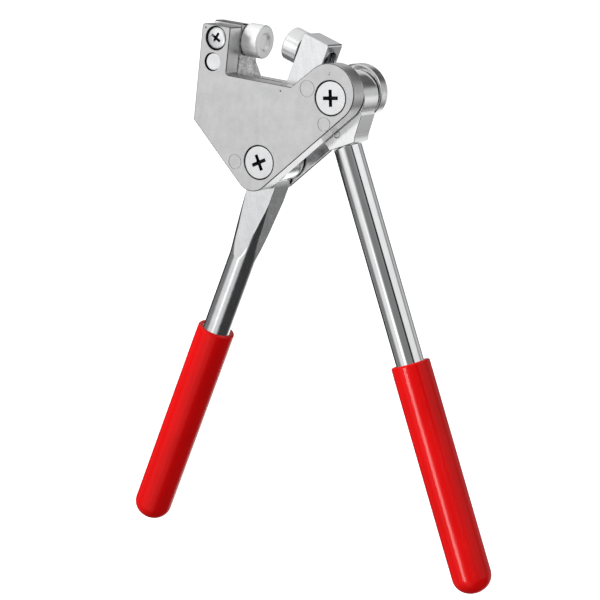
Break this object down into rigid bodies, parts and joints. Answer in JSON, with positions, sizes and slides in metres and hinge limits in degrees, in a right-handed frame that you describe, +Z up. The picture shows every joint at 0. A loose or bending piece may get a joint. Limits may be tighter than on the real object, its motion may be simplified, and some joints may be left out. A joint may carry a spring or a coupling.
{
  "type": "fencing pliers",
  "caption": "Two-lever setting pliers: a cast head holds a fixed die, and a pivoting jaw driven by sprung red-gripped handles closes a second die onto it.",
  "frame": {"origin": "the jaw pivot's axis at the middle of the head's thickness", "axes": "+Z up the head, handles down; the front cheek faces -Y; the dies meet along X with the fixed die on the -X side"},
  "size_m": [0.2001, 0.0322, 0.2613],
  "materials": {
    "cast_head": "satin polished steel casting",
    "chromed_die": "bright chrome",
    "chromed_lever": "chrome over a polished forging",
    "screw_steel": "zinc plated, lightly turned",
    "dark_steel": "oiled dark steel",
    "washer_brass": "plain brass",
    "red_vinyl": "glossy dipped vinyl"
  },
  "bodies": {
    "head": {"front_cheek": "cast_head", "rear_casting": "cast_head", "fixed_die": "chromed_die", "die_screw": "screw_steel", "dowel_pin": "screw_steel", "jaw_pivot_screw": "screw_steel", "cam_pivot_screw": "screw_steel", "jaw_pivot_barrel": "dark_steel", "cam_pivot_barrel": "dark_steel", "jaw_washer_front": "washer_brass", "jaw_washer_rear": "washer_brass", "cam_washer_front": "washer_brass", "cam_washer_rear": "washer_brass", "return_spring": "dark_steel", "spring_guide": "dark_steel"},
    "left_lever": {"jaw_lever": "chromed_lever", "moving_die": "chromed_die", "moving_die_screw": "dark_steel", "left_grip": "red_vinyl"},
    "right_lever": {"cam_lug": "chromed_lever", "right_rod": "chromed_lever", "lug_pin": "dark_steel", "right_grip": "red_vinyl"}
  },
  "joints": [
    {"name": "jaw_hinge", "type": "hinge", "parent": "head", "child": "left_lever", "pos_m": [0, 0, 0], "axis": [0, -1, 0], "range_deg": [0, 14.4], "stiffness_Nm_per_rad": 1.4, "springref_deg": -17.19, "deforming": ["return_spring"]},
    {"name": "cam_hinge", "type": "hinge", "parent": "head", "child": "right_lever", "pos_m": [0.0344, 0, 0.0361], "axis": [0, 1, 0], "range_deg": [0, 17.3]}
  ],
  "couplings": [
    {"joint": "cam_hinge", "follows": "jaw_hinge", "ratio": 1.2}
  ]
}
